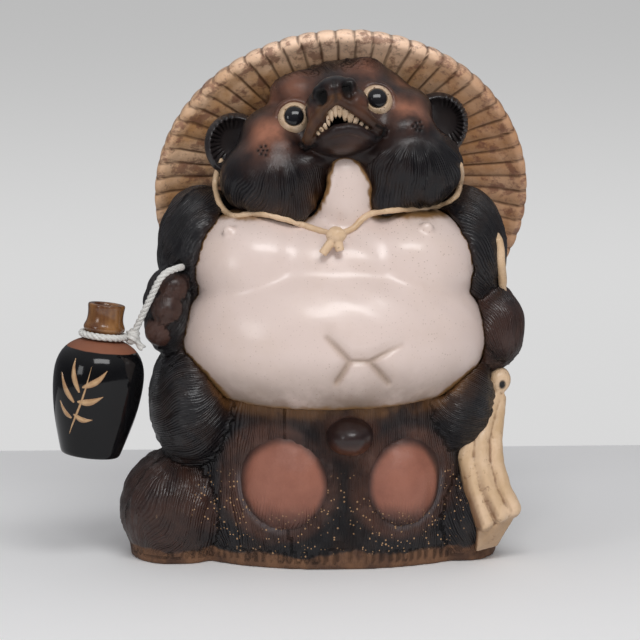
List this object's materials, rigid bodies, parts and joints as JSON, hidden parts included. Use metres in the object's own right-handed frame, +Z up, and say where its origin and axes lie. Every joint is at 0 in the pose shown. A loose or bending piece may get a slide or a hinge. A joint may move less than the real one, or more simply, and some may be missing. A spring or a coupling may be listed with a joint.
{
  "type": "tanuki statue",
  "caption": "Seated stoneware tanuki ornament with a round belly, a straw hat on its back, a ledger, and a rope-hung bottle that swings beside its leg.",
  "frame": {"origin": "middle of the trunk's oval foot, on the surface that it stands on", "axes": "+Z up, -Y the way the statue faces, +X to its left hand side as the viewer's right"},
  "size_m": [0.3658, 0.2424, 0.397],
  "materials": {
    "dark_glaze": "glossy iron-brown glaze over combed fur",
    "cream_glaze": "glossy speckled cream glaze",
    "ivory_glaze": "satin ivory glaze",
    "black_glaze": "glossy black glaze",
    "straw_glaze": "satin mottled straw-coloured glaze",
    "tan_glaze": "satin tan glaze",
    "red_clay": "dull red-brown clay slip",
    "bare_clay": "unglazed fired clay",
    "rope": "white laid cotton cord",
    "bottle_glaze": "glossy black glaze",
    "amber_glaze": "glossy amber-brown glaze"
  },
  "bodies": {
    "statue": {"base_ring": "bare_clay", "body_front": "dark_glaze", "body_back": "dark_glaze", "tail": "dark_glaze", "belly": "cream_glaze", "chest": "cream_glaze", "breast_left": "cream_glaze", "breast_right": "cream_glaze", "nipple_left": "cream_glaze", "nipple_right": "cream_glaze", "throat": "cream_glaze", "head": "dark_glaze", "brow_left": "dark_glaze", "brow_right": "dark_glaze", "cheek_left": "dark_glaze", "cheek_right": "dark_glaze", "muzzle": "dark_glaze", "upper_lip": "dark_glaze", "nose": "dark_glaze", "lower_jaw": "dark_glaze", "teeth": "ivory_glaze", "eye_left": "ivory_glaze", "eye_right": "ivory_glaze", "pupil_left": "black_glaze", "pupil_right": "black_glaze", "ear_left": "dark_glaze", "ear_right": "dark_glaze", "hat": "straw_glaze", "chin_cord": "tan_glaze", "chin_knot": "tan_glaze", "arm_left": "dark_glaze", "arm_right": "dark_glaze", "paw_left": "dark_glaze", "finger_top": "dark_glaze", "finger_middle": "dark_glaze", "finger_low": "dark_glaze", "paw_right": "dark_glaze", "thigh_left": "dark_glaze", "thigh_right": "dark_glaze", "foot_left": "dark_glaze", "foot_right": "dark_glaze", "money_bag_left": "red_clay", "money_bag_right": "red_clay", "bag_knob": "red_clay", "ledger": "tan_glaze", "ledger_strap": "tan_glaze", "rope_bight": "rope"},
    "rope": {"rope_drop": "rope"},
    "sling": {"neck_loop": "rope", "sling_knot": "rope"},
    "bottle": {"bottle_body": "bottle_glaze", "bottle_neck": "amber_glaze"}
  },
  "joints": [
    {"name": "rope_swing", "type": "hinge", "parent": "statue", "child": "rope", "pos_m": [-0.13015, -0.083, 0.22], "axis": [0, 1, 0], "range_deg": [0, 40]},
    {"name": "bottle_swing", "type": "hinge", "parent": "rope", "child": "sling", "pos_m": [-0.14917, -0.0657, 0.17927], "axis": [1, 0, 0], "range_deg": [-15, 15]},
    {"name": "bottle_turn", "type": "hinge", "parent": "sling", "child": "bottle", "pos_m": [-0.18481, -0.064, 0.084], "axis": [0.1219, 0, 0.9925], "range_deg": [-90, 90]}
  ]
}
